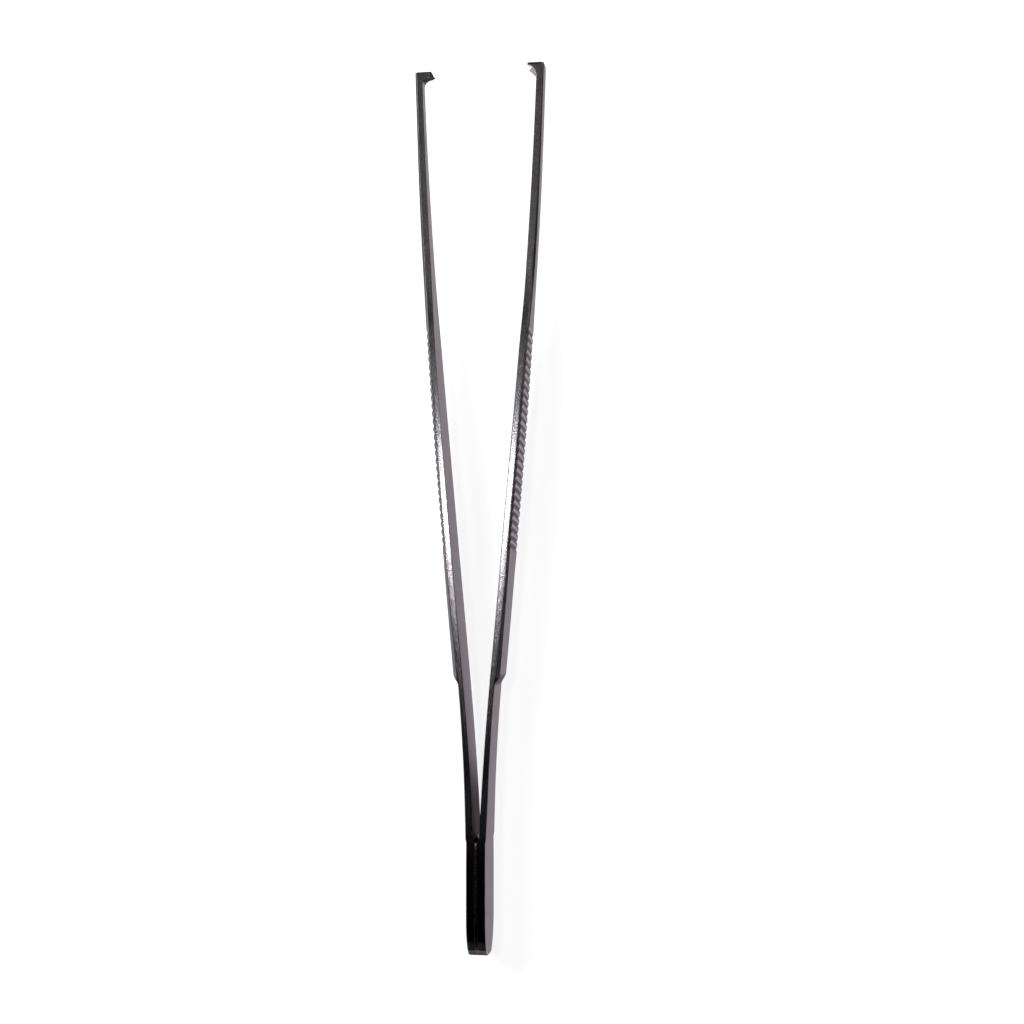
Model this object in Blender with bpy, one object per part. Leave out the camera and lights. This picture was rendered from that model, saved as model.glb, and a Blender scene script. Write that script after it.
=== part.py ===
"""Aquascaping tweezers: two sprung steel arms welded together at the butt, with rat-tooth jaws.

The tool lies on its edge. +Y runs from the butt to the tips, X is the direction in which the arms
open, and Z is the width of the arms. The origin is the bottom centre of the tool's box.
Units are metres.
"""

import math

import bmesh
import bpy
from mathutils import Vector

# ---------------------------------------------------------------- driving dimensions

OVERALL_LENGTH = 0.160

# the butt, where the two arms are welded face to face
BUTT_LENGTH = 0.0200        # end of the butt to the crotch
BUTT_WIDTH = 0.0090
BUTT_THICKNESS = 0.0036     # both halves and the filler between them
BUTT_NOSE_LENGTH = 0.0070   # rounded end, seen on the wide face
BUTT_END_FLAT = 0.0012      # width of the flat left at the very end
FILLER_THICKNESS = 0.0003
JOINT_GAP = 0.0003          # clearance kept between pieces that touch

# the leaf spring, between the crotch and the step
LEAF_LENGTH = 0.0275
LEAF_WIDTH = 0.0077
LEAF_ROOT_THICKNESS = 0.00135
LEAF_END_THICKNESS = 0.00104
LEAF_ROOT_SLOPE = math.radians(1.7)
CROTCH_HALF_GAP = 0.00060   # centre plane to the inner face, just above the crotch
FLEX_DISTANCE = 0.0128      # crotch to the line that each arm turns about as its leaf bends

# the step, where the arm thickens outwards
STEP_LENGTH = 0.0020
STEP_THICKNESS = 0.00178
BOW_DISTANCE = 0.0125       # step to the place where the arm slopes most
BOW_HALF_GAP = 0.00347
BOW_SLOPE = math.radians(5.3)

# the grip, with its serrations
GRIP_WIDTH = 0.0080
GRIP_DISTANCE = 0.0305      # step to the widest place of the grip
GRIP_THICKNESS = 0.00162
SERRATION_START = 0.0232    # step to the first groove
SERRATION_PITCH = 0.00142
SERRATION_COUNT = 29
SERRATION_DEPTH = 0.00020
SERRATION_RADIUS = 0.00036
SHOULDER_DISTANCE = 0.0585  # step to the shoulder, where the grip runs into the shaft
SHOULDER_WIDTH = 0.0064

# the slim shaft
SHAFT_DISTANCE = 0.0745     # step to the start of the shaft
SHAFT_WIDTH = 0.0035
SHAFT_THICKNESS = 0.00168
CHAMFER_THICKNESS = 0.00048  # how far the outer chamfers reach into the arm's thickness
CHAMFER_WIDTH = 0.00060      # how far they reach across its width
EDGE_BREAK = 0.00012         # the small chamfer on the edges of butt and leaf

# the jaws
TIP_HALF_GAP = 0.01062      # centre plane to the inner face at the tips, jaws left out
TIP_SLOPE = math.radians(2.0)
TIP_THICKNESS = 0.00142
FORKED_TIP_WIDTH = 0.0032   # the right jaw, with two teeth
SINGLE_TIP_WIDTH = 0.0018   # the left jaw, with one tooth
FORKED_BEAK = 0.00185       # how far the right jaw hooks inwards
SINGLE_BEAK = 0.00190
BEAK_FILLET = 0.00200       # length of the hollow under each beak
BEAK_LIP = 0.00060          # thickness of each beak at its end
FORK_DEPTH = 0.00090        # the V between the right jaw's teeth
FORK_POINT = 0.00012        # width left on the point of each of the two teeth
TOOTH_HEIGHT = 0.00035      # how far the left tooth stands above its shoulders
TOOTH_POINT = 0.00024       # width of the left tooth's edge

# ---------------------------------------------------------------- derived places along the tool

CROTCH = BUTT_LENGTH
STEP = CROTCH + LEAF_LENGTH
FLEX = CROTCH + FLEX_DISTANCE
BOW = STEP + BOW_DISTANCE
GRIP = STEP + GRIP_DISTANCE
SHOULDER = STEP + SHOULDER_DISTANCE
SHAFT = STEP + SHAFT_DISTANCE
TIP = OVERALL_LENGTH
FLARE = 0.0010              # length over which the crotch opens to its half gap
NOSE_STEPS = 7
FILLET_STEPS = 6
STATION_SPACING = 0.0040
CUT_ALLOWANCE = 0.0010      # how far a cutter stands out of what it cuts
HALF_WIDTH = max(BUTT_WIDTH, GRIP_WIDTH) / 2
HALF_BUTT_GAP = FILLER_THICKNESS / 2 + JOINT_GAP

STEEL = (0.62, 0.60, 0.61, 1.0)
BRAZE = (0.70, 0.68, 0.66, 1.0)


# ---------------------------------------------------------------- helpers

def smooth_through(stations):
    """A smooth function through (place, value) stations that never overshoots between them."""
    places = [place for place, _ in stations]
    values = [value for _, value in stations]
    steps = [
        (values[i + 1] - values[i]) / (places[i + 1] - places[i])
        for i in range(len(stations) - 1)
    ]
    slopes = [0.0]
    for before, after in zip(steps, steps[1:]):
        turns = before * after <= 0
        slopes.append(0.0 if turns else 2 * before * after / (before + after))
    slopes.append(0.0)

    def value_at(place):
        if place <= places[0]:
            return values[0]
        if place >= places[-1]:
            return values[-1]
        i = max(k for k in range(len(places) - 1) if places[k] <= place)
        return hermite(
            place, places[i], values[i], slopes[i], places[i + 1], values[i + 1], slopes[i + 1]
        )

    return value_at


def hermite(place, start, start_value, start_slope, end, end_value, end_slope):
    """A cubic between two places, with a value and a slope at each."""
    span = end - start
    t = (place - start) / span
    return (
        (2 * t**3 - 3 * t**2 + 1) * start_value
        + (t**3 - 2 * t**2 + t) * span * start_slope
        + (3 * t**2 - 2 * t**3) * end_value
        + (t**3 - t**2) * span * end_slope
    )


def new_collection(name):
    collection = bpy.data.collections.new(name)
    bpy.context.scene.collection.children.link(collection)
    return collection


def metal(name, colour, roughness):
    material = bpy.data.materials.new(name)
    material.use_nodes = True
    shader = material.node_tree.nodes["Principled BSDF"]
    shader.inputs["Base Color"].default_value = colour
    shader.inputs["Roughness"].default_value = roughness
    shader.inputs["Metallic"].default_value = 1.0
    return material


def object_from(mesh_builder, name, collection, origin=(0.0, 0.0, 0.0)):
    """Turn a bmesh in world places into an object whose origin is at the given place."""
    bmesh.ops.translate(mesh_builder, verts=mesh_builder.verts, vec=-Vector(origin))
    bmesh.ops.recalc_face_normals(mesh_builder, faces=mesh_builder.faces)
    mesh = bpy.data.meshes.new(name)
    mesh_builder.to_mesh(mesh)
    mesh_builder.free()
    thing = bpy.data.objects.new(name, mesh)
    thing.location = origin
    collection.objects.link(thing)
    return thing


def loft(sections):
    """One closed body through a row of closed sections that have the same number of corners."""
    mesh_builder = bmesh.new()
    rings = [[mesh_builder.verts.new(corner) for corner in section] for section in sections]
    for ring, following in zip(rings, rings[1:]):
        count = len(ring)
        for k in range(count):
            mesh_builder.faces.new(
                (ring[k], ring[(k + 1) % count], following[(k + 1) % count], following[k])
            )
    mesh_builder.faces.new(rings[0])
    mesh_builder.faces.new(list(reversed(rings[-1])))
    return mesh_builder


def prism(outline, name, collection, thickness, location, rotation=(0.0, 0.0, 0.0)):
    """A flat outline extruded by its thickness about its own plane, as a mesh object."""
    curve = bpy.data.curves.new(name + "_outline", "CURVE")
    curve.dimensions = "2D"
    curve.fill_mode = "BOTH"
    curve.extrude = thickness / 2
    spline = curve.splines.new("POLY")
    spline.points.add(len(outline) - 1)
    for point, (x, y) in zip(spline.points, outline):
        point.co = (x, y, 0.0, 1.0)
    spline.use_cyclic_u = True
    drawn = bpy.data.objects.new(name + "_outline", curve)
    collection.objects.link(drawn)
    drawn.location = location
    drawn.rotation_euler = rotation
    bpy.context.view_layer.update()
    evaluated = drawn.evaluated_get(bpy.context.evaluated_depsgraph_get())
    mesh = bpy.data.meshes.new_from_object(evaluated)
    welded = bmesh.new()
    welded.from_mesh(mesh)
    bmesh.ops.remove_doubles(welded, verts=welded.verts, dist=1e-6)
    bmesh.ops.recalc_face_normals(welded, faces=welded.faces)
    welded.to_mesh(mesh)
    welded.free()
    thing = bpy.data.objects.new(name, mesh)
    thing.matrix_world = drawn.matrix_world
    collection.objects.link(thing)
    bpy.data.objects.remove(drawn)
    return thing


def cut(thing, cutter):
    """Take a cutter's shape out of a piece with an exact Boolean."""
    cutter.hide_render = True
    cutter.display_type = "WIRE"
    modifier = thing.modifiers.new("cut_" + cutter.name, "BOOLEAN")
    modifier.operation = "DIFFERENCE"
    modifier.solver = "EXACT"
    modifier.object = cutter


# ---------------------------------------------------------------- the shape of an arm

def inner_line(place):
    """Centre plane to an arm's inner face, with the jaw's beak left out."""
    if place <= CROTCH:
        return HALF_BUTT_GAP
    if place <= CROTCH + FLARE:
        share = (place - CROTCH) / FLARE
        return HALF_BUTT_GAP + (CROTCH_HALF_GAP - HALF_BUTT_GAP) * share
    if place <= BOW:
        return hermite(
            place, CROTCH + FLARE, CROTCH_HALF_GAP, math.tan(LEAF_ROOT_SLOPE),
            BOW, BOW_HALF_GAP, math.tan(BOW_SLOPE),
        )
    return hermite(
        place, BOW, BOW_HALF_GAP, math.tan(BOW_SLOPE),
        TIP, TIP_HALF_GAP, math.tan(TIP_SLOPE),
    )


LEAF_THICKNESS_AT = smooth_through([
    (CROTCH + FLARE, LEAF_ROOT_THICKNESS),
    (STEP, LEAF_END_THICKNESS),
])
ARM_THICKNESS_AT = smooth_through([
    (STEP + STEP_LENGTH, STEP_THICKNESS),
    (GRIP, GRIP_THICKNESS),
    (SHOULDER, GRIP_THICKNESS),
    (SHAFT, SHAFT_THICKNESS),
    (TIP, TIP_THICKNESS),
])


def outer_line(place):
    """Centre plane to an arm's outer face."""
    if place <= CROTCH:
        return BUTT_THICKNESS / 2
    if place <= CROTCH + FLARE:
        share = (place - CROTCH) / FLARE
        root = inner_line(CROTCH + FLARE) + LEAF_ROOT_THICKNESS
        return BUTT_THICKNESS / 2 * (1 - share) + root * share
    if place <= STEP:
        return inner_line(place) + LEAF_THICKNESS_AT(place)
    if place >= STEP + STEP_LENGTH:
        return inner_line(place) + ARM_THICKNESS_AT(place)
    thickness = hermite(
        place, STEP, LEAF_END_THICKNESS, 0.0, STEP + STEP_LENGTH, STEP_THICKNESS, 0.0
    )
    return inner_line(place) + thickness


def chamfer_share(place):
    """0 on the butt and the leaf, 1 where the outer chamfers have their full size."""
    share = min(max((place - STEP) / STEP_LENGTH, 0.0), 1.0)
    return share * share * (3 - 2 * share)


def half_width_profile(tip_width):
    return smooth_through([
        (CROTCH - BUTT_LENGTH / 4, BUTT_WIDTH / 2),
        (FLEX, LEAF_WIDTH / 2),
        (STEP, LEAF_WIDTH / 2),
        (GRIP, GRIP_WIDTH / 2),
        (SHOULDER, SHOULDER_WIDTH / 2),
        (SHAFT, SHAFT_WIDTH / 2),
        (TIP, tip_width / 2),
    ])


def nose_share(place, length):
    """How much of its full width the rounded butt end has at a place."""
    if place >= length:
        return 1.0
    flat = BUTT_END_FLAT / BUTT_WIDTH
    return flat + (1 - flat) * math.sqrt(1 - (1 - place / length) ** 2)


def nose_places(start, end):
    """Places along a rounded end, closest together where it curves most."""
    return [
        start + (end - start) * (1 - math.cos(math.pi / 2 * k / NOSE_STEPS))
        for k in range(NOSE_STEPS)
    ]


def section(side, place, half_width, inner):
    """The six corners of an arm's cross-section: flat inside, chamfered outside."""
    share = chamfer_share(place)
    chamfer_x = EDGE_BREAK + (CHAMFER_THICKNESS - EDGE_BREAK) * share
    chamfer_z = EDGE_BREAK + (CHAMFER_WIDTH - EDGE_BREAK) * share
    chamfer_z = min(chamfer_z, half_width / 2)
    outer = outer_line(place)
    y = place - OVERALL_LENGTH / 2
    corners = [
        (inner, -half_width),
        (inner, half_width),
        (outer - chamfer_x, half_width),
        (outer, half_width - chamfer_z),
        (outer, chamfer_z - half_width),
        (outer - chamfer_x, -half_width),
    ]
    return [(side * x, y, HALF_WIDTH + z) for x, z in corners]


def even_places(start, end):
    """Places from start to end, about a station's spacing apart."""
    count = max(1, round((end - start) / STATION_SPACING))
    return [start + (end - start) * k / count for k in range(count + 1)]


def butt_places():
    """Places from the end of the butt to the flex line."""
    return (
        nose_places(0.0, BUTT_NOSE_LENGTH)
        + even_places(BUTT_NOSE_LENGTH, CROTCH)
        + even_places(CROTCH + FLARE, FLEX - JOINT_GAP / 2)
    )


def build_butt_half(side, name, collection, material):
    """Half of the butt, with the lower end of its leaf spring."""
    width_at = half_width_profile(FORKED_TIP_WIDTH)
    sections = [
        section(
            side, place, width_at(place) * nose_share(place, BUTT_NOSE_LENGTH), inner_line(place)
        )
        for place in butt_places()
    ]
    half = object_from(loft(sections), name, collection)
    half.data.materials.append(material)
    return half


def arm_places():
    """Places from the flex line to the hollow under the beak."""
    step_places = [STEP + STEP_LENGTH * share for share in (0.25, 0.5, 0.75)]
    fillet_start = TIP - BEAK_LIP - BEAK_FILLET
    return (
        even_places(FLEX + JOINT_GAP / 2, STEP)
        + step_places
        + even_places(STEP + STEP_LENGTH, fillet_start)
    )


def flex_point(side):
    """Where an arm's turning axis crosses the middle of its leaf."""
    x = (inner_line(FLEX) + outer_line(FLEX)) / 2
    return (side * x, FLEX - OVERALL_LENGTH / 2, HALF_WIDTH)


def build_arm(side, name, collection, material, tip_width, beak):
    """An arm from its flex line to the end of its hooked jaw, before its teeth are cut."""
    width_at = half_width_profile(tip_width)
    sections = [section(side, p, width_at(p), inner_line(p)) for p in arm_places()]
    fillet_start = TIP - BEAK_LIP - BEAK_FILLET
    for k in range(1, FILLET_STEPS + 1):
        angle = math.pi / 2 * k / FILLET_STEPS
        place = fillet_start + BEAK_FILLET * math.sin(angle)
        inner = inner_line(place) - beak * (1 - math.cos(angle))
        sections.append(section(side, place, width_at(place), inner))
    sections.append(section(side, TIP, width_at(TIP), inner_line(TIP) - beak))
    arm = object_from(loft(sections), name, collection, flex_point(side))
    arm.data.materials.append(material)
    return arm


def serration_cutters(side, name, collection):
    """A row of round grooves across the outside of the grip."""
    mesh_builder = bmesh.new()
    for k in range(SERRATION_COUNT):
        place = STEP + SERRATION_START + SERRATION_PITCH * (k + 0.5)
        x = side * (outer_line(place) + SERRATION_RADIUS - SERRATION_DEPTH)
        bar = bmesh.ops.create_cone(
            mesh_builder, cap_ends=True, segments=12, depth=GRIP_WIDTH + 2 * CUT_ALLOWANCE,
            radius1=SERRATION_RADIUS, radius2=SERRATION_RADIUS,
        )
        bmesh.ops.translate(
            mesh_builder, verts=bar["verts"], vec=(x, place - OVERALL_LENGTH / 2, HALF_WIDTH)
        )
    return object_from(mesh_builder, name, collection)


def fork_cutter(side, name, collection):
    """The V that leaves two teeth on the right jaw."""
    half = FORKED_TIP_WIDTH / 2 - FORK_POINT
    mouth = half * (1 + CUT_ALLOWANCE / FORK_DEPTH)
    reach = FORK_DEPTH + CUT_ALLOWANCE
    outline = [(0.0, 0.0), (reach, mouth), (reach, -mouth)]
    bottom = side * (inner_line(TIP) - FORKED_BEAK + FORK_DEPTH)
    return prism(
        [(-side * x, z) for x, z in outline], name, collection,
        2 * (BEAK_LIP + BEAK_FILLET + CUT_ALLOWANCE),
        (bottom, TIP - OVERALL_LENGTH / 2, HALF_WIDTH), (math.pi / 2, 0.0, 0.0),
    )


def tooth_cutter(side, above, name, collection):
    """The slope on one side of the left jaw's single tooth."""
    half = SINGLE_TIP_WIDTH / 2
    point = TOOTH_POINT / 2
    run = half - point
    over = CUT_ALLOWANCE
    outline = [
        (-over, point - over * run / TOOTH_HEIGHT),
        (TOOTH_HEIGHT + over, half + over * run / TOOTH_HEIGHT),
        (-over, half + over * run / TOOTH_HEIGHT),
    ]
    point_x = side * (inner_line(TIP) - SINGLE_BEAK)
    return prism(
        [(side * x, above * z) for x, z in outline], name, collection,
        2 * (BEAK_LIP + BEAK_FILLET + CUT_ALLOWANCE),
        (point_x, TIP - OVERALL_LENGTH / 2, HALF_WIDTH), (math.pi / 2, 0.0, 0.0),
    )


def build_filler(name, collection, material):
    """The weld metal between the two butt halves, one gap inside their outline."""
    width_at = half_width_profile(FORKED_TIP_WIDTH)
    places = nose_places(JOINT_GAP, BUTT_NOSE_LENGTH) + even_places(BUTT_NOSE_LENGTH, CROTCH - JOINT_GAP)
    x = FILLER_THICKNESS / 2
    sections = []
    for place in places:
        share = nose_share(place - JOINT_GAP, BUTT_NOSE_LENGTH - JOINT_GAP)
        half = (width_at(place) - JOINT_GAP) * share
        y = place - OVERALL_LENGTH / 2
        sections.append([
            (-x, y, HALF_WIDTH - half),
            (-x, y, HALF_WIDTH + half),
            (x, y, HALF_WIDTH + half),
            (x, y, HALF_WIDTH - half),
        ])
    filler = object_from(loft(sections), name, collection)
    filler.data.materials.append(material)
    return filler


def hang_on_pivot(arm, name, collection):
    """Parent an arm to an empty on the line that it turns about."""
    pivot = bpy.data.objects.new(name, None)
    pivot.empty_display_size = BUTT_WIDTH
    pivot.location = arm.location
    collection.objects.link(pivot)
    arm.location = (0.0, 0.0, 0.0)
    arm.parent = pivot


def main():
    for thing in list(bpy.data.objects):
        bpy.data.objects.remove(thing)
    parts = new_collection("aquascaping_tweezers")
    cutters = new_collection("cutters")
    steel = metal("satin_steel", STEEL, 0.35)
    braze = metal("weld_metal", BRAZE, 0.45)

    build_butt_half(-1, "butt_half_left", parts, steel)
    build_butt_half(1, "butt_half_right", parts, steel)
    build_filler("butt_weld", parts, braze)

    left = build_arm(-1, "arm_left", parts, steel, SINGLE_TIP_WIDTH, SINGLE_BEAK)
    right = build_arm(1, "arm_right", parts, steel, FORKED_TIP_WIDTH, FORKED_BEAK)
    cut(left, serration_cutters(-1, "left_serrations", cutters))
    cut(right, serration_cutters(1, "right_serrations", cutters))
    cut(right, fork_cutter(1, "right_fork", cutters))
    cut(left, tooth_cutter(-1, 1, "left_tooth_upper", cutters))
    cut(left, tooth_cutter(-1, -1, "left_tooth_lower", cutters))
    hang_on_pivot(left, "left_flex_axis", parts)
    hang_on_pivot(right, "right_flex_axis", parts)


main()
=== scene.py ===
"""Looks for the aquascaping tweezers: ground satin steel arms with grained edges, on a pale floor.

Every length is in metres, in the frame of the CAD part: +Y from the butt to the tips, X the way the
arms open, Z across their width. "place" is the distance from the end of the butt, "outward" the
distance from the centre plane, and "across" the distance from the middle of the arms' width.
"""

import math

import bpy
import numpy as np
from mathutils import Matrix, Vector


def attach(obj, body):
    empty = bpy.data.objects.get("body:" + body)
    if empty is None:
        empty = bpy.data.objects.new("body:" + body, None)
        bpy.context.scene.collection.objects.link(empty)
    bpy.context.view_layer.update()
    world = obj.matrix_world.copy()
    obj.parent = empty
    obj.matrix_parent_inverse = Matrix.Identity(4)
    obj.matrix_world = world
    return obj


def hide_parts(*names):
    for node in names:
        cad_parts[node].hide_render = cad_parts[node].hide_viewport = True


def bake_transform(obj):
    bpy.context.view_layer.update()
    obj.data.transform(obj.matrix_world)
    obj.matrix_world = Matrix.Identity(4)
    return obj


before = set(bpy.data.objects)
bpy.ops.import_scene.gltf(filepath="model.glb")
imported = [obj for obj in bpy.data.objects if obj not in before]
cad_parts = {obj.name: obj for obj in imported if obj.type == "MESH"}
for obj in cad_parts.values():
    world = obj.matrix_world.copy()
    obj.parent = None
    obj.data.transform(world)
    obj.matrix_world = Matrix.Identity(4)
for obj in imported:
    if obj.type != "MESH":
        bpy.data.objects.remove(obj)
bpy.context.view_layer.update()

# ---------------------------------------------------------------- sizes shared with the CAD part

OVERALL_LENGTH = 0.160
BUTT_WIDTH = 0.0090
BUTT_THICKNESS = 0.0036
BUTT_NOSE_LENGTH = 0.0070
BUTT_END_FLAT = 0.0012
CROTCH = 0.0200
STEP = 0.0475
FLEX = 0.0328
BOW = 0.0600
GRIP = 0.0780
SHOULDER = 0.1060
SHAFT = 0.1220
TIP = 0.1600
LEAF_WIDTH = 0.0077
GRIP_WIDTH = 0.0080
SHOULDER_WIDTH = 0.0064
SHAFT_WIDTH = 0.0035
LEAF_ROOT_THICKNESS = 0.00135
LEAF_END_THICKNESS = 0.00104
LEAF_ROOT_SLOPE = math.tan(math.radians(1.7))
CROTCH_HALF_GAP = 0.00060
STEP_LENGTH = 0.0020
STEP_THICKNESS = 0.00178
BOW_HALF_GAP = 0.00347
BOW_SLOPE = math.tan(math.radians(5.3))
GRIP_THICKNESS = 0.00162
SHAFT_THICKNESS = 0.00168
TIP_THICKNESS = 0.00142
TIP_HALF_GAP = 0.01062
TIP_SLOPE = math.tan(math.radians(2.0))
SERRATION_START = STEP + 0.0232
SERRATION_PITCH = 0.00142
SERRATION_COUNT = 29
FLARE = 0.0010

# ---------------------------------------------------------------- finer shape, only in the looks

HALF_WIDTH = BUTT_WIDTH / 2
SEAM = 0.00028              # centre plane to the butt's inner face, where the weld fills the rest
LOBE_HEIGHT = 0.00027       # crest to valley of the serrations
LEVEL = 0.55                # what stands for no slope on the scale of the flanks
LOBE_SHARPNESS = 2.4        # 2 for round lobes, more for flatter crests and steeper valleys
LOBE_SLANT = 0.10           # how far the serrations run lengthwise, for each length across
SLANT_RUN = 0.003           # length beyond the serrations in which that slant fades
FLANK_LEAD = 0.08           # share of a pitch by which the flanks' shading follows the crests
STEP_FLANK = 0.3            # share of the step's length in which its slope comes and goes
SOFT_EDGE = 0.00012         # chamfer of the edges on butt and leaf
INNER_RADIUS = 0.00008      # rounding of the edges of the inner face
FLUSH_RADIUS = 0.00001      # the same at the butt, where the weld is ground flush
OUTER_RADIUS = 0.00007      # rounding of the chamfers' own edges
EDGE_SWELL = 0.000010       # how far the narrow faces swell in the middle
CROWN_SWELL = 0.00005       # how far the outer face swells in the middle
MOST_SWELL = 0.02           # the most that it may swell, as a share of the half width
LEAST_BEVEL = 0.1           # share of a chamfer's width that is left at the serrations' valleys
BUTT_CORNER = 0.00045       # rounding of the butt's outer corner at its end
SEAM_CORNER = 0.00012       # rounding of the butt's inner corner at its end
BEAK_CORNER = 0.00008       # rounding of the front of the beaks
POINT_SOFTNESS = 0.02       # how blunt a straight underside meets its tooth's point
UNDERSIDE_DIP = 0.3         # how far a straight underside still sinks in
FRONT_CURVE = 0.6           # below 1 the teeth draw back fast beyond their points
HOLLOW_TURN = (-0.4, 0.7)   # shares of the half width where the lower underside becomes the upper
FALL_TURN = (-0.4, 0.4)     # the same for the front of the teeth
TOOTH_FLANK = (0.10, 0.85)  # shares of the half width between which the single tooth falls away
SHOULDER_CUT = 0.00060      # how far the single tooth stands out from its shoulders
FORK_CUT = 0.00120          # depth of the V between the two teeth
FORK_WIDTH = 0.85           # share of the half width at which the V ends
UPPER_TOOTH_CUT = 0.00015   # how much shorter the upper one of the two teeth is

# ---------------------------------------------------------------- curves


def hermite(place, start, start_value, start_slope, end, end_value, end_slope):
    """A cubic between two places, with a value and a slope at each."""
    span = end - start
    t = (place - start) / span
    return (
        (2 * t**3 - 3 * t**2 + 1) * start_value
        + (t**3 - 2 * t**2 + t) * span * start_slope
        + (3 * t**2 - 2 * t**3) * end_value
        + (t**3 - t**2) * span * end_slope
    )


def smooth_through(stations):
    """A smooth function through (place, value) stations that never overshoots between them."""
    places = [place for place, _ in stations]
    values = [value for _, value in stations]
    steps = [
        (values[i + 1] - values[i]) / (places[i + 1] - places[i])
        for i in range(len(stations) - 1)
    ]
    slopes = [0.0]
    for before, after in zip(steps, steps[1:]):
        turns = before * after <= 0
        slopes.append(0.0 if turns else 2 * before * after / (before + after))
    slopes.append(0.0)

    def value_at(place):
        if place <= places[0]:
            return values[0]
        if place >= places[-1]:
            return values[-1]
        i = max(k for k in range(len(places) - 1) if places[k] <= place)
        return hermite(
            place, places[i], values[i], slopes[i], places[i + 1], values[i + 1], slopes[i + 1]
        )

    return value_at


def ease(value, start, end):
    """0 before start, 1 after end, and smooth between them."""
    t = min(max((value - start) / (end - start), 0.0), 1.0)
    return t * t * (3 - 2 * t)


def round_over(distance, radius):
    """How far a rounded end has drawn in at a distance from it, for a quarter circle."""
    if distance >= radius:
        return 0.0
    return radius - math.sqrt(radius**2 - (radius - distance) ** 2)


# ---------------------------------------------------------------- the shape of an arm


def inner_line(place):
    """Centre plane to the inner face, with the beak left out."""
    if place <= CROTCH:
        return SEAM
    if place <= CROTCH + FLARE:
        return SEAM + (CROTCH_HALF_GAP - SEAM) * ease(place, CROTCH, CROTCH + FLARE)
    if place <= BOW:
        return hermite(
            place, CROTCH + FLARE, CROTCH_HALF_GAP, LEAF_ROOT_SLOPE, BOW, BOW_HALF_GAP, BOW_SLOPE
        )
    return hermite(place, BOW, BOW_HALF_GAP, BOW_SLOPE, TIP, TIP_HALF_GAP, TIP_SLOPE)


LEAF_THICKNESS_AT = smooth_through([
    (CROTCH + FLARE, LEAF_ROOT_THICKNESS),
    (STEP, LEAF_END_THICKNESS),
])
ARM_THICKNESS_AT = smooth_through([
    (STEP + STEP_LENGTH, STEP_THICKNESS),
    (GRIP, GRIP_THICKNESS),
    (SHOULDER, GRIP_THICKNESS),
    (SHAFT, SHAFT_THICKNESS),
    (TIP, TIP_THICKNESS),
])
CHAMFER_REACH_AT = smooth_through([   # how far the outer chamfers reach into the thickness
    (STEP, 0.00064),
    (SERRATION_START - 0.008, 0.00046),
    (SERRATION_START + 0.002, 0.00044),
    (SHOULDER, 0.00044),
    (SHAFT, 0.00046),
    (TIP - 0.018, 0.00032),
])
CHAMFER_SLANT = 0.80        # how far they reach across the width, as a share of that reach


def outer_line(place):
    """Centre plane to the outer face, with the serrations left out."""
    root = CROTCH + FLARE
    if place <= CROTCH:
        return BUTT_THICKNESS / 2
    if place <= root:
        root_line = inner_line(root) + LEAF_ROOT_THICKNESS
        return BUTT_THICKNESS / 2 + (root_line - BUTT_THICKNESS / 2) * ease(place, CROTCH, root)
    if place <= STEP:
        return inner_line(place) + LEAF_THICKNESS_AT(place)
    rise = ease(place, STEP, STEP + STEP_LENGTH)
    full = ARM_THICKNESS_AT(place)
    return inner_line(place) + LEAF_END_THICKNESS + (full - LEAF_END_THICKNESS) * rise


def half_width_profile(tip_width):
    """Half the width of an arm as a function of the place, for one width of the jaw."""
    return smooth_through([
        (CROTCH * 0.75, BUTT_WIDTH / 2),
        (FLEX, LEAF_WIDTH / 2),
        (STEP, LEAF_WIDTH / 2),
        (GRIP, GRIP_WIDTH / 2),
        (SHOULDER, SHOULDER_WIDTH / 2),
        (SHAFT, SHAFT_WIDTH / 2),
        (TIP, tip_width / 2),
    ])


def nose_share(place):
    """How much of its full width the bullet-shaped butt end has at a place."""
    if place >= BUTT_NOSE_LENGTH:
        return 1.0
    flat = BUTT_END_FLAT / BUTT_WIDTH
    return flat + (1 - flat) * math.sqrt(1 - (1 - place / BUTT_NOSE_LENGTH) ** 2)


def serrated(place):
    """1 along the serrations, and easing to 0 beyond them."""
    end = SERRATION_START + SERRATION_PITCH * SERRATION_COUNT
    rise = ease(place, SERRATION_START - SLANT_RUN, SERRATION_START)
    return rise * (1 - ease(place, end, end + SLANT_RUN))


def flank(place):
    """How the outer face slopes, which sets the painted highlight and shade on its flanks: -1 on a
    flank facing the butt, 1 on one facing the tips.
    """
    step = ease(place, STEP, STEP + STEP_LENGTH * STEP_FLANK)
    step *= 1 - ease(place, STEP + STEP_LENGTH * (1 - STEP_FLANK), STEP + STEP_LENGTH)
    along = (place - SERRATION_START) / SERRATION_PITCH
    if along <= 0.5 or along >= SERRATION_COUNT - 0.5:
        return LEVEL - (1 + LEVEL) * step
    return math.sin(2 * math.pi * (along % 1.0 - FLANK_LEAD))


def lobe_depth(place):
    """How far the serrations lie below the outer face: rounded lobes between sharp valleys."""
    along = (place - SERRATION_START) / SERRATION_PITCH
    if along <= 0 or along >= SERRATION_COUNT:
        return 0.0
    outer_half = along < 0.5 or along > SERRATION_COUNT - 0.5
    if outer_half:
        return 0.0
    off_crest = 2 * (along % 1.0) - 1
    return LOBE_HEIGHT * abs(off_crest) ** LOBE_SHARPNESS


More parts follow.
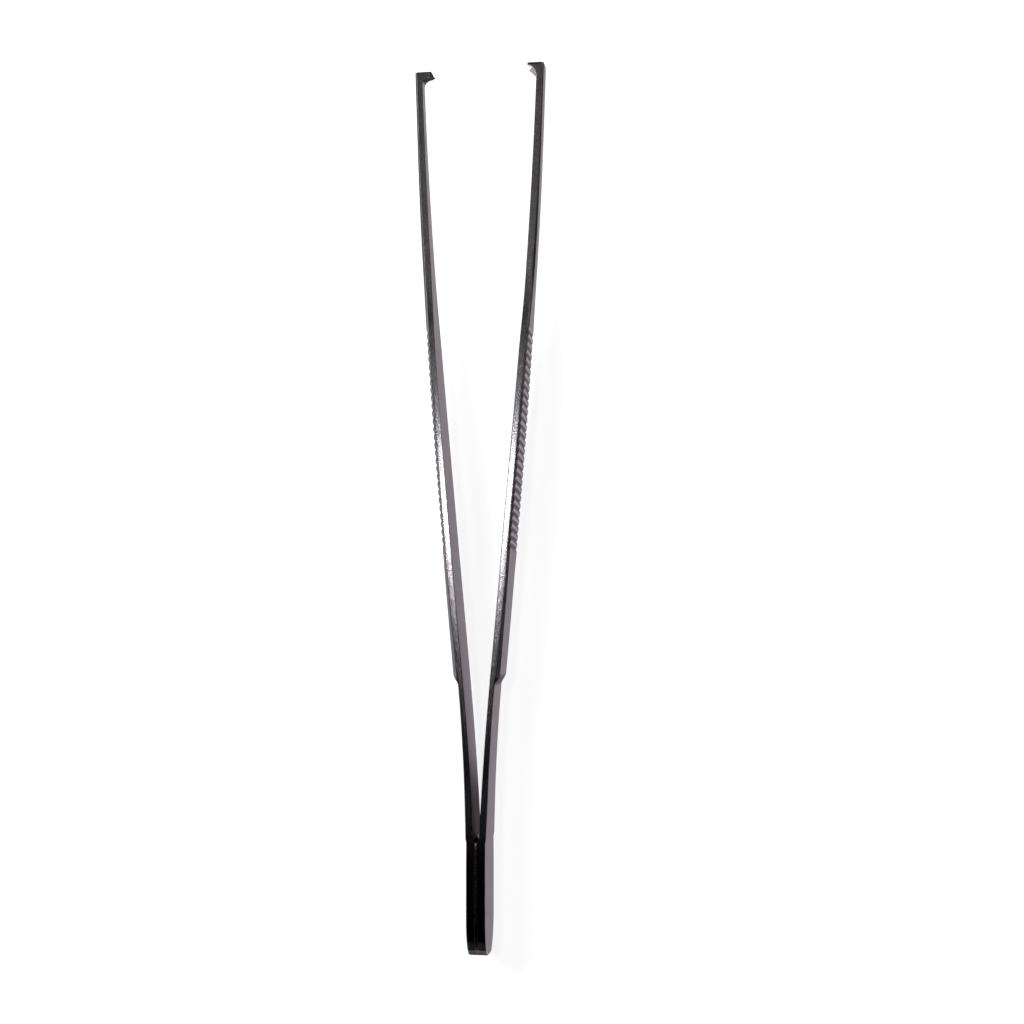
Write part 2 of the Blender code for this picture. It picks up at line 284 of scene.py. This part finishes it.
class Jaw:
    """The hooked end of one arm."""

    def __init__(self, side, tip, tip_width, beak, teeth, underside, hollow, upper_hollow,
                 setback, fall, upper_fall, corner):
        self.side = side
        self.tip = tip              # place of the arm's own end
        self.tip_width = tip_width
        self.beak = beak            # how far it hooks inwards
        self.teeth = teeth          # how far it is cut back at a share of the half width
        self.underside = underside  # length of the underside of the hook
        self.hollow = hollow        # 0 for a straight underside, 1 for a quarter circle
        self.upper_hollow = upper_hollow    # the same at the upper edge
        self.setback = setback      # how far the teeth's points stand behind the end
        self.fall = fall            # how far the teeth draw back from their points to the end
        self.upper_fall = upper_fall        # the same at the upper edge
        self.corner = corner        # rounding of the end's own corners
        self.half_width_at = half_width_profile(tip_width)

    def hook(self, place, across_share=-1.0):
        """How far the beak has drawn the inner face in, at a share of the half width."""
        point = self.tip - self.setback
        start = point - self.underside
        if place <= start:
            return 0.0
        if place <= point:
            share = (place - start) / (point - start)
            curved = 1 - math.sqrt(1 - share**2)
            straight = 1 - math.sqrt(POINT_SOFTNESS**2 + (1 - share) ** 2)
            straight -= (1 - share) * share * UNDERSIDE_DIP
            rise = ease(across_share, *HOLLOW_TURN)
            hollow = self.hollow + (self.upper_hollow - self.hollow) * rise
            return self.beak * (hollow * curved + (1 - hollow) * straight)
        return self.beak

    def tooth_cut(self, place, across_share):
        """How far the inner face lies behind the beak's lower edge, teeth and fall included."""
        lower, own = self.hook(place), self.hook(place, across_share)
        grown = max(own / self.beak, 0.0)
        beyond = max(place - (self.tip - self.setback), 0.0) / self.setback
        fall = self.fall + (self.upper_fall - self.fall) * ease(across_share, *FALL_TURN)
        front = fall * beyond**FRONT_CURVE
        return lower - own + max(self.teeth(across_share) * grown, front)


def single_tooth(across_share):
    """One tooth in the middle, with a shoulder cut back on both sides of it."""
    return SHOULDER_CUT * ease(abs(across_share), *TOOTH_FLANK)


def forked_teeth(across_share):
    """Two teeth at the sides, with a V between them, and the upper one a little shorter."""
    between = FORK_CUT * (1 - min(abs(across_share) / FORK_WIDTH, 1.0))
    return between + UPPER_TOOTH_CUT * ease(across_share, 0.0, FORK_WIDTH)


LEFT_JAW = Jaw(
    side=-1, tip=TIP - 0.0006, tip_width=0.0018, beak=0.00222, teeth=single_tooth,
    underside=0.00140, hollow=1.0, upper_hollow=1.0, setback=0.00105, fall=0.00060,
    upper_fall=0.00060, corner=0.00008,
)
RIGHT_JAW = Jaw(
    side=1, tip=TIP, tip_width=0.0032, beak=0.00185, teeth=forked_teeth,
    underside=0.00190, hollow=0.10, upper_hollow=0.95, setback=0.00060, fall=0.00100,
    upper_fall=0.00014, corner=0.00050,
)

# ---------------------------------------------------------------- rings round an arm

INNER, EDGE, CHAMFER, CROWN, ROUND = range(5)
FLAT_SPLITS = {             # where the flat between two rounded corners is divided
    INNER: (0.02, 0.10, 0.20, 0.30, 0.40, 0.50, 0.60, 0.70, 0.80, 0.90, 0.98),
    EDGE: (0.05, 0.20, 0.35, 0.50, 0.65, 0.80, 0.95),
    CHAMFER: (0.08, 0.50, 0.92),
    CROWN: (0.03, 0.20, 0.35, 0.50, 0.65, 0.80, 0.97),
}
SIDES = (INNER, EDGE, CHAMFER, CROWN, CHAMFER, EDGE)
ARC_STEPS = 4
ARC_SHARE = 0.45            # the most that a rounded corner may take of the flat beside it
LEAST_THICKNESS = 1e-5
INNER_EDGE_OPENS = (CROTCH - 0.0005, CROTCH + 0.006)   # where its rounding grows

NOSE_RINGS = 30
CORNER_RINGS = 6
BEAK_RINGS = 50
END_RINGS = 8
SPACING = 0.0006            # from ring to ring where the shape hardly turns
CROTCH_SPACING = 0.00014
STEP_SPACING = 0.00012
LEAST_SPACING = 8e-6
BEAK_ZONE = 0.0025          # length of the end with the rings of the beak
END_ZONE = 0.0005           # length of the end with the rings of its rounded corners
LOBE_SHARES = (0.0, 0.02, 0.06, 0.14, 0.25, 0.38, 0.5, 0.62, 0.75, 0.86, 0.94, 0.98)


def arc_through(corner, before, after, radius):
    """Points of a rounded corner."""
    back = before - corner
    on = after - corner
    half_angle = back.angle(on) / 2
    reach = min(radius / math.tan(half_angle), ARC_SHARE * back.length, ARC_SHARE * on.length)
    start = corner + back.normalized() * reach
    end = corner + on.normalized() * reach
    weight = math.sin(half_angle)
    points = []
    for k in range(ARC_STEPS + 1):
        t = k / ARC_STEPS
        a, b, c = (1 - t) ** 2, 2 * t * (1 - t) * weight, t**2
        points.append((start * a + corner * b + end * c) / (a + b + c))
    return points


def ring_at(place, jaw):
    """(outward, across, kind) of every point round an arm's section at a place."""
    end_gap = jaw.tip - place
    half = jaw.half_width_at(place) * nose_share(place) - round_over(end_gap, jaw.corner)
    inner = inner_line(place) - jaw.hook(place)
    inner += round_over(place, SEAM_CORNER) + round_over(end_gap, BEAK_CORNER)
    depth = lobe_depth(place)
    outer = outer_line(place) - round_over(place, BUTT_CORNER) - round_over(end_gap, jaw.corner)
    share = ease(place, STEP, STEP + STEP_LENGTH)
    full = CHAMFER_REACH_AT(place)
    reach = SOFT_EDGE + (full - SOFT_EDGE) * share
    width = min(SOFT_EDGE + (full * CHAMFER_SLANT - SOFT_EDGE) * share, half / 2)
    swell = min(CROWN_SWELL, MOST_SWELL * half)
    low = outer - swell - depth
    bevel = width * max(1 - depth / reach, LEAST_BEVEL)
    flat = half - EDGE_SWELL
    corners = [Vector(c) for c in (
        (inner, -flat), (inner, flat), (outer - swell - reach, flat), (low, flat - bevel),
        (low, bevel - flat), (outer - swell - reach, -flat),
    )]
    open_share = ease(place, *INNER_EDGE_OPENS)
    inner_radius = FLUSH_RADIUS + (INNER_RADIUS - FLUSH_RADIUS) * open_share
    radii = (inner_radius, inner_radius, OUTER_RADIUS, OUTER_RADIUS, OUTER_RADIUS, OUTER_RADIUS)
    count = len(corners)
    arcs = [
        arc_through(corners[k], corners[k - 1], corners[(k + 1) % count], radii[k])
        for k in range(count)
    ]
    middle = (inner + outer - reach) / 2
    thick = max((outer - reach - inner) / 2, LEAST_THICKNESS)
    points = []
    for k in range(count):
        kind = SIDES[k]
        points += [(p.x, p.y, ROUND) for p in arcs[k]]
        start, end = arcs[k][-1], arcs[(k + 1) % count][0]
        for split in FLAT_SPLITS[kind]:
            p = start.lerp(end, split)
            outward, across = p.x, p.y
            if kind == CROWN:
                outward += swell * max(1 - (across / (flat - bevel)) ** 2, 0.0)
            if kind == EDGE:
                rise = max(1 - ((outward - middle) / thick) ** 2, 0.0)
                across += math.copysign(EDGE_SWELL * rise, across)
            points.append((outward, across, kind))
    if jaw.hook(place) > 0:
        limit = (inner + outer) / 2
        points = [
            (
                outward + jaw.tooth_cut(place, across / half)
                * ease(limit - outward, 0.0, limit - inner),
                across, kind,
            )
            for outward, across, kind in points
        ]
    return points


def quarter_turn(length, count):
    """Places over a rounded end, closest together where it is blunt."""
    return [length * (1 - math.cos(math.pi / 2 * k / count)) for k in range(count)]


def arm_places(tip):
    """Places of the rings, close together wherever the shape turns.

    The zones stop a fraction of a millimetre apart, so that no two rings fall together.
    """
    step_end = STEP + STEP_LENGTH
    serration_end = SERRATION_START + SERRATION_PITCH * SERRATION_COUNT
    beak_start = tip - BEAK_ZONE
    lobes = [
        SERRATION_START + SERRATION_PITCH * (k + share)
        for k in range(SERRATION_COUNT)
        for share in LOBE_SHARES
    ]
    zones = (
        quarter_turn(BUTT_NOSE_LENGTH, NOSE_RINGS),
        quarter_turn(BUTT_CORNER, CORNER_RINGS),
        np.arange(BUTT_NOSE_LENGTH, CROTCH - 0.0005, SPACING),
        np.arange(CROTCH - 0.0004, CROTCH + 0.0024, CROTCH_SPACING),
        np.arange(CROTCH + 0.0027, STEP - 0.0006, SPACING),
        np.arange(STEP - 0.0004, step_end + 0.0004, STEP_SPACING),
        np.arange(step_end + 0.0006, SERRATION_START - 0.0003, SPACING),
        lobes,
        np.arange(serration_end + 0.0002, beak_start - 0.0002, SPACING),
        [beak_start + (tip - beak_start) * (k / BEAK_RINGS) for k in range(BEAK_RINGS)],
        [
            tip - END_ZONE * (1 - math.sin(math.pi / 2 * k / END_RINGS))
            for k in range(END_RINGS + 1)
        ],
    )
    places = sorted({place for zone in zones for place in zone})
    kept = [places[0]]
    for place in places[1:]:
        if place - kept[-1] > LEAST_SPACING:
            kept.append(place)
    kept[-1] = tip
    return kept


def skin_over(rings):
    """(faces, strip index of each face) of a closed tube through rings of equal length."""
    faces, strips = [], []
    size = len(rings[0])
    for i in range(len(rings) - 1):
        for k in range(size):
            following = (k + 1) % size
            a, b = i * size, (i + 1) * size
            faces.append((a + k, a + following, b + following, b + k))
            strips.append(k)
    last = (len(rings) - 1) * size
    faces.append(tuple(reversed(range(size))))
    faces.append(tuple(range(last, last + size)))
    strips += [0, 0]
    return faces, strips


def mesh_object(name, vertices, faces, materials, indices):
    """A smooth-shaded object, with the index of each face's material."""
    mesh = bpy.data.meshes.new(name)
    mesh.from_pydata(vertices, [], faces)
    for material in materials:
        mesh.materials.append(material)
    mesh.polygons.foreach_set("material_index", indices)
    mesh.polygons.foreach_set("use_smooth", [True] * len(faces))
    mesh.update()
    thing = bpy.data.objects.new(name, mesh)
    bpy.context.scene.collection.objects.link(thing)
    return thing


def point_value(thing, name, values):
    """Store one number for each vertex, for the materials to read."""
    layer = thing.data.attributes.new(name, "FLOAT", "POINT")
    layer.data.foreach_set("value", values)


# Each pair is where a change of the surface starts and where it is complete; those that lighten or
# darken place the painted shade.
GAP_LIGHTENS = (CROTCH + 0.006, CROTCH + 0.017)
NOSE_LIGHTENS = (0.0010, 0.0030)
STEP_DARKENS = (STEP + 0.0002, STEP + 0.0007)
STEP_LIGHTENS = (STEP + STEP_LENGTH - 0.0008, STEP + STEP_LENGTH - 0.0003)
HOOK_DARKENS = (0.0, 0.0003)            # in how far the beak has drawn in
CHAMFER_DARKENS = (SHOULDER, SHAFT + 0.01)
HEAT_ENDS = (CROTCH - 0.001, CROTCH + 0.004)
HEAT_FADES = (SEAM, SEAM + 0.0008)      # in the distance from the centre plane
TUMBLING_STARTS = (CROTCH + 0.002, CROTCH + 0.022)

# Strengths of the painted shade: under the left beak, on the step, and on the outer chamfers.
HOOK_SHADE = 0.95
STEP_SHADE = 0.85
CHAMFER_SHADE = 0.3                      # along the butt and grip
SHAFT_SHADE = 0.55                       # what is added to that along the shaft
BUTT_TUMBLING = 0.10


def build_arm(name, jaw, wide_steel, edge_steel):
    """One arm from the butt to its jaw, in a single skin."""
    places = arm_places(jaw.tip)
    rings = [ring_at(place, jaw) for place in places]
    kinds = [kind for _, _, kind in rings[0]]
    vertices, wear, heat, flank_shading, painted_shade = [], [], [], [], []
    for place, ring in zip(places, rings):
        along = place - OVERALL_LENGTH / 2
        slant = LOBE_SLANT * serrated(place)
        between = 1 - ease(place, *GAP_LIGHTENS)
        nose = 1 - ease(place, *NOSE_LIGHTENS)
        on_step = ease(place, *STEP_DARKENS)
        on_step *= 1 - ease(place, *STEP_LIGHTENS)
        hooked = HOOK_SHADE * ease(jaw.hook(place), *HOOK_DARKENS) if jaw.side < 0 else 0.0
        chamfered = CHAMFER_SHADE + SHAFT_SHADE * ease(place, *CHAMFER_DARKENS)
        near_weld = 1 - ease(place, *HEAT_ENDS)
        for outward, across, kind in ring:
            vertices.append((jaw.side * outward, along + slant * across, HALF_WIDTH + across))
            wear.append(1.0 if kind == ROUND else 0.0)
            heat.append(near_weld * (1 - ease(outward, *HEAT_FADES)))
            outside = outward > (inner_line(place) + outer_line(place)) / 2
            inside = kind == INNER or (kind == ROUND and not outside)
            # Painted shade: inner faces near the crotch and under the left beak, narrow edges at
            # the butt's nose, the step and the chamfers.
            if inside:
                painted_shade.append(max(between, hooked))
            elif kind == EDGE:
                painted_shade.append(nose)
            else:
                painted_shade.append(max(STEP_SHADE * on_step, chamfered * (kind == CHAMFER)))
            # This value paints highlight on crown flanks facing the tips, and shade on those facing
            # the butt and on the step.
            sloping = kind == CROWN or (kind == ROUND and outside)
            flank_shading.append(flank(place) if sloping else LEVEL)
    faces, strips = skin_over(rings)
    if jaw.side > 0:
        faces = [tuple(reversed(face)) for face in faces]
    size = len(kinds)
    edge_strips = {
        k for k in range(size)
        if EDGE in (kinds[k], kinds[(k + 1) % size])
    }
    indices = [1 if strip in edge_strips else 0 for strip in strips]
    arm = mesh_object(name, vertices, faces, [wide_steel, edge_steel], indices)
    point_value(arm, "wear", wear)
    point_value(arm, "heat", heat)
    point_value(arm, "flank_shading", flank_shading)
    point_value(arm, "painted_shade", painted_shade)
    point_value(arm, "tumbled", [
        BUTT_TUMBLING + (1 - BUTT_TUMBLING) * ease(place, *TUMBLING_STARTS)
        for place in places
        for _ in kinds
    ])
    return arm


# ---------------------------------------------------------------- the weld between the halves

WELD_RECESS = 0.00001       # how far the weld metal lies below the butt's edges
WELD_GAP = 0.00001          # from the weld metal to the arms' inner faces
WELD_HOLLOW = 0.00001       # how far its face sinks between them
WELD_CLIMB = 0.0009         # how far the weld metal climbs up the arms at the crotch
WELD_START = 0.00006        # how far it starts from the end of the butt
WELD_NOSE_RINGS = 24
WELD_SPACING = 0.0005
WELD_STEPS = 8              # faces across one side of the weld
CLIMB_SHARES = (0.0, 0.15, 0.3, 0.45, 0.6, 0.75, 0.9, 1.0)
HOLLOW_SHARPNESS = 1.6      # how sharply the hollow at the crotch is cut


def weld_rings():
    """Rings of (outward, place, across) over the weld metal, ending in a hollow at the crotch."""
    half_width_at = half_width_profile(RIGHT_JAW.tip_width)
    places = [WELD_START + place for place in quarter_turn(BUTT_NOSE_LENGTH, WELD_NOSE_RINGS)]
    places += list(np.arange(BUTT_NOSE_LENGTH + 0.0003, CROTCH - 0.0002, WELD_SPACING))
    places += [CROTCH + WELD_CLIMB * share for share in CLIMB_SHARES]
    rings = []
    for place in places:
        half = half_width_at(place) * nose_share(place) - WELD_RECESS
        reach = inner_line(place) - WELD_GAP
        hollow = ease(place, CROTCH - 0.0002, CROTCH + WELD_CLIMB)
        upper = []
        for k in range(WELD_STEPS + 1):
            share = 2 * k / WELD_STEPS - 1
            sink = hollow * WELD_CLIMB * (1 - abs(share) ** HOLLOW_SHARPNESS)
            across = half - WELD_HOLLOW * (1 - share**2)
            upper.append((reach * share, place - sink, across))
        under = [(outward, along, -across) for outward, along, across in reversed(upper)]
        rings.append(upper + under)
    return rings


def build_weld(material):
    """The plate of weld metal in the seam, from the butt's end to the crotch."""
    rings = weld_rings()
    vertices = [
        (outward, place - OVERALL_LENGTH / 2, HALF_WIDTH + across)
        for ring in rings
        for outward, place, across in ring
    ]
    size = len(rings[0])
    faces = []
    for i in range(len(rings) - 1):
        a, b = i * size, (i + 1) * size
        for k in range(size):
            following = (k + 1) % size
            faces.append((a + k, b + k, b + following, a + following))
    last = (len(rings) - 1) * size
    for k in range(WELD_STEPS):
        top, under = k, size - 1 - k
        faces.append((top, top + 1, under - 1, under))
        faces.append((last + top, last + under, last + under - 1, last + top + 1))
    return mesh_object("weld", vertices, faces, [material], [0] * len(faces))


# ---------------------------------------------------------------- materials


class Nodes:
    """A small helper that adds and joins the nodes of one material."""

    def __init__(self, name):
        self.material = bpy.data.materials.new(name)
        self.material.use_nodes = True
        self.tree = self.material.node_tree
        self.shader = self.tree.nodes["Principled BSDF"]

    @classmethod
    def of_tree(cls, tree):
        """The same helper for a node tree that exists."""
        helper = cls.__new__(cls)
        helper.tree = tree
        return helper

    def add(self, kind, **settings):
        """A new node, with its settings."""
        node = self.tree.nodes.new(kind)
        for key, value in settings.items():
            setattr(node, key, value)
        return node

    def join(self, source, target):
        """Link an output to an input."""
        self.tree.links.new(source, target)

    def place(self, stretch=(1.0, 1.0, 1.0)):
        """The surface's own place, scaled per axis."""
        coordinates = self.add("ShaderNodeTexCoord")
        mapping = self.add("ShaderNodeMapping")
        mapping.inputs["Scale"].default_value = stretch
        self.join(coordinates.outputs["Object"], mapping.inputs["Vector"])
        return mapping.outputs["Vector"]

    def noise(self, scale, detail=3.0, roughness=0.5, stretch=(1.0, 1.0, 1.0)):
        """Noise with features about 1 / scale metres across."""
        node = self.add("ShaderNodeTexNoise")
        node.inputs["Scale"].default_value = scale
        node.inputs["Detail"].default_value = detail
        node.inputs["Roughness"].default_value = roughness
        self.join(self.place(stretch), node.inputs["Vector"])
        return node.outputs["Fac"]

    def attribute(self, name):
        """A number stored on the arm's vertices."""
        return self.add("ShaderNodeAttribute", attribute_name=name).outputs["Fac"]

    def ramp(self, value, start, end, low=0.0, high=1.0):
        """Map value from start..end to low..high, clamped."""
        node = self.add("ShaderNodeMapRange")
        node.inputs["From Min"].default_value = start
        node.inputs["From Max"].default_value = end
        node.inputs["To Min"].default_value = low
        node.inputs["To Max"].default_value = high
        self.join(value, node.inputs["Value"])
        return node.outputs["Result"]

    def math(self, operation, first, second):
        """A sum or product of outputs or numbers."""
        node = self.add("ShaderNodeMath", operation=operation)
        for socket, value in zip(node.inputs, (first, second)):
            if isinstance(value, float):
                socket.default_value = value
            else:
                self.join(value, socket)
        return node.outputs["Value"]

    def mix(self, factor, first, second):
        """The first colour at factor 0, and the second at factor 1."""
        node = self.add("ShaderNodeMix", data_type="RGBA")
        self.join(factor, node.inputs["Factor"])
        colours = [s for s in node.inputs if s.type == "RGBA"]
        for socket, value in zip(colours, (first, second)):
            if isinstance(value, tuple):
                socket.default_value = value
            else:
                self.join(value, socket)
        return [s for s in node.outputs if s.type == "RGBA"][0]

    def bump(self, height, strength, distance, under=None):
        """A normal that follows a height, on top of an earlier one."""
        node = self.add("ShaderNodeBump")
        node.inputs["Strength"].default_value = strength
        node.inputs["Distance"].default_value = distance
        self.join(height, node.inputs["Height"])
        if under is not None:
            self.join(under, node.inputs["Normal"])
        return node.outputs["Normal"]

    def finish(self, colour, roughness, normal):
        """The material, with its metallic surface joined up."""
        self.join(colour, self.shader.inputs["Base Color"])
        self.join(roughness, self.shader.inputs["Roughness"])
        self.join(normal, self.shader.inputs["Normal"])
        self.shader.inputs["Metallic"].default_value = 1.0
        self.shader.inputs["Specular Tint"].default_value = SATIN_SHEEN
        return self.material


STEEL = (0.38, 0.35, 0.375, 1.0)
STEEL_DARK = (0.33, 0.30, 0.325, 1.0)
# Bright steel for scratches, grain and worn edges, and the painted highlight on the flanks.
BRIGHT_STEEL_AND_HIGHLIGHT = (0.66, 0.64, 0.66, 1.0)
# Painted shade on the flanks facing the butt and on the step.
FLANK_SHADE = (0.10, 0.09, 0.10, 1.0)
SATIN_SHEEN = (0.40, 0.375, 0.395, 1.0)   # what is left of the mirror at a grazing angle
GRAIN = (0.27, 0.25, 0.26, 1.0)
GRAIN_DARK = (0.21, 0.19, 0.20, 1.0)
# Colour of the painted shade in the crotch, under the beak, at the nose, on the step and on the
# chamfers.
PAINTED_SHADE_COLOUR = (0.012, 0.010, 0.010, 1.0)
HEAT_BROWN = (0.07, 0.045, 0.033, 1.0)
WELD_GREY = (0.13, 0.11, 0.10, 1.0)
LENGTHWISE = (1.0, 0.03, 1.0)             # stretch of the scratches


def satin_steel():
    """Ground and satin finished: scratches along the arm, faint clouds, brighter worn edges,
    painted highlight and shade on the flanks, and painted shade in the crotch, under the beak, on
    the step and on the chamfers.
    """
    n = Nodes("satin_steel_brushed")
    clouds = n.noise(420.0, 4.0)
    scratches = n.noise(9000.0, 2.0, 0.6, LENGTHWISE)
    grain = n.noise(14000.0, 2.0)
    colour = n.mix(n.ramp(clouds, 0.35, 0.65), STEEL_DARK, STEEL)
    colour = n.mix(n.ramp(scratches, 0.45, 0.75, 0.0, 0.35), colour, BRIGHT_STEEL_AND_HIGHLIGHT)
    worn = n.ramp(n.attribute("wear"), 0.4, 1.0, 0.0, 0.15)
    colour = n.mix(worn, colour, BRIGHT_STEEL_AND_HIGHLIGHT)
    # Painted highlight on flanks facing the tips, painted shade on those facing the butt and on the
    # step.
    flanks = n.attribute("flank_shading")
    colour = n.mix(n.ramp(flanks, 0.5, 1.0, 0.0, 0.8), colour, BRIGHT_STEEL_AND_HIGHLIGHT)
    colour = n.mix(n.ramp(flanks, 0.6, -0.1, 0.0, 0.85), colour, FLANK_SHADE)
    # Painted shade in the crotch, under the left beak, on the step and on the chamfers.
    colour = n.mix(n.ramp(n.attribute("painted_shade"), 0.0, 1.0, 0.0, 0.94), colour, PAINTED_SHADE_COLOUR)
    roughness = n.ramp(scratches, 0.3, 0.7, 0.27, 0.38)
    roughness = n.math("ADD", roughness, n.ramp(clouds, 0.3, 0.7, -0.03, 0.04))
    normal = n.bump(scratches, 0.25, 0.000010)
    normal = n.bump(grain, 0.20, 0.000006, normal)
    return n.finish(colour, roughness, normal)


def grained_steel():
    """The narrow edges: barrel-polished, with a sparkling grain, heat stain at the weld and painted
    shade, mainly at the butt's nose.
    """
    n = Nodes("satin_steel_grained")
    clouds = n.noise(600.0, 3.0)
    grain = n.noise(4200.0, 3.0, 0.65)
    fine = n.noise(16000.0, 2.0)
    colour = n.mix(n.ramp(clouds, 0.35, 0.65), GRAIN_DARK, GRAIN)
    colour = n.mix(n.ramp(grain, 0.50, 0.72, 0.0, 0.8), colour, BRIGHT_STEEL_AND_HIGHLIGHT)
    stain = n.math("MULTIPLY", n.attribute("heat"), n.ramp(clouds, 0.35, 0.6))
    colour = n.mix(stain, colour, HEAT_BROWN)
    # Painted shade on the narrow edges, mainly at the butt's nose.
    colour = n.mix(n.ramp(n.attribute("painted_shade"), 0.0, 1.0, 0.0, 0.80), colour, PAINTED_SHADE_COLOUR)
    tumbled = n.attribute("tumbled")
    level = n.ramp(tumbled, 0.0, 1.0, 0.10, 0.155)
    roughness = n.math("MULTIPLY", n.ramp(grain, 0.35, 0.70, 1.1, 0.75), level)
    normal = n.bump(n.math("MULTIPLY", grain, tumbled), 0.8, 0.000011)
    normal = n.bump(fine, 0.25, 0.000001, normal)
    return n.finish(colour, roughness, normal)


def weld_metal():
    """Filler that was ground back: duller, pitted and stained brown in patches."""
    n = Nodes("weld_metal_ground")
    clouds = n.noise(1100.0, 4.0)
    pits = n.noise(4200.0, 3.0, 0.6)
    colour = n.mix(n.ramp(clouds, 0.38, 0.62), HEAT_BROWN, WELD_GREY)
    roughness = n.ramp(pits, 0.3, 0.7, 0.30, 0.14)
    normal = n.bump(pits, 0.5, 0.000005)
    return n.finish(colour, roughness, normal)


# ---------------------------------------------------------------- stage, light and camera

FLOOR_REACH = 3.0            # from the middle of the floor to its sides
FLOOR_COLOUR = (0.86, 0.86, 0.86, 1.0)
FLOOR_LIGHT = (1.0, 1.0, 1.0, 1.0)
FLOOR_ROUGHNESS = 0.9
FLOOR_GLOW = 0.80            # the floor is a pale light table


def build_floor():
    """A pale floor that glows a little."""
    far = FLOOR_REACH
    corners = [(-far, -far, 0.0), (far, -far, 0.0), (far, far, 0.0), (-far, far, 0.0)]
    n = Nodes("pale_floor")
    n.shader.inputs["Base Color"].default_value = FLOOR_COLOUR
    n.shader.inputs["Roughness"].default_value = FLOOR_ROUGHNESS
    n.shader.inputs["Specular IOR Level"].default_value = 0.0
    n.shader.inputs["Emission Color"].default_value = FLOOR_LIGHT
    n.shader.inputs["Emission Strength"].default_value = FLOOR_GLOW
    floor = mesh_object("floor", corners, [(0, 1, 2, 3)], [n.material], [0])


LEFT_WALL = (0.42, 0.41, 0.43, 1.0)
RIGHT_WALL = (0.03, 0.03, 0.036, 1.0)
WALL_TURN = (-0.8, -0.1)     # from left to right, where the pale wall gives way to the dark one
CEILING_TURN = (0.25, 0.60)  # sine of the height at which the walls give way to the ceiling
CEILING_SHARE = 0.004        # brightness of the ceiling, as a share of the walls'


def build_world():
    """A studio with one pale wall, one dark wall and a dark ceiling."""
    world = bpy.data.worlds.new("studio")
    bpy.context.scene.world = world
    world.use_nodes = True
    n = Nodes.of_tree(world.node_tree)
    background = world.node_tree.nodes["Background"]
    direction = n.add("ShaderNodeSeparateXYZ")
    n.join(n.add("ShaderNodeTexCoord").outputs["Generated"], direction.inputs["Vector"])
    walls = n.mix(n.ramp(direction.outputs["X"], *WALL_TURN), LEFT_WALL, RIGHT_WALL)
    ceiling = n.ramp(direction.outputs["Z"], *CEILING_TURN, 1.0, CEILING_SHARE)
    n.join(walls, background.inputs["Color"])
    n.join(ceiling, background.inputs["Strength"])


def area_light(name, location, size, radiance, target=(0.0, 0.0, 0.0)):
    """A rectangular softbox of even brightness that faces a target."""
    data = bpy.data.lights.new(name, "AREA")
    data.shape = "RECTANGLE"
    data.size, data.size_y = size
    data.energy = radiance * math.pi * size[0] * size[1]
    light = bpy.data.objects.new(name, data)
    light.location = location
    direction = Vector(target) - Vector(location)
    light.rotation_euler = direction.to_track_quat("-Z", "Y").to_euler()
    bpy.context.scene.collection.objects.link(light)


def build_lights():
    """A ceiling light that the narrow edges mirror, and softboxes in the corners of the studio."""
    area_light("ceiling_softbox", (-0.13, 0.066, 0.78), (0.13, 0.09), 12.0)
    area_light("ceiling_panel", (-0.13, 0.24, 0.75), (0.30, 0.26), 0.22, (0.0, 0.06, 0.0))
    area_light("key_softbox", (-0.85, 0.75, 0.75), (0.7, 0.7), 6.0)
    area_light("fill_softbox", (0.85, 0.75, 0.75), (0.6, 0.6), 2.5)


SENSOR_WIDTH = 36.0          # in millimetres, as is the lens
LENS = 52.2
NEAR_CLIP = 0.01
CAMERA_LOCATION = (0.04641, -0.0168, 0.2674)
CAMERA_DEGREES = (3.25, 8.78, -0.058)


def build_camera():
    """The camera at the photo's angle: above the tool, a little to its right and to its butt."""
    data = bpy.data.cameras.new("camera")
    data.sensor_width = SENSOR_WIDTH
    data.lens = LENS
    data.clip_start = NEAR_CLIP
    camera = bpy.data.objects.new("camera", data)
    camera.location = CAMERA_LOCATION
    camera.rotation_euler = tuple(math.radians(angle) for angle in CAMERA_DEGREES)
    bpy.context.scene.collection.objects.link(camera)
    bpy.context.scene.camera = camera


# ---------------------------------------------------------------- putting it together


def main():
    """Build every piece, hang the weld on the butt, hide the CAD parts that the pieces stand in
    for, and set the stage.
    """
    wide = satin_steel()
    edge = grained_steel()
    for side, jaw in (("left", LEFT_JAW), ("right", RIGHT_JAW)):
        arm = build_arm("steel_arm_" + side, jaw, wide, edge)
        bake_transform(arm)
        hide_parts("arm_" + side, "butt_half_" + side)
    weld = build_weld(weld_metal())
    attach(weld, "butt")
    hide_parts("butt_weld")
    build_floor()
    build_world()
    build_lights()
    build_camera()
    bpy.context.scene.view_settings.view_transform = "Standard"


main()
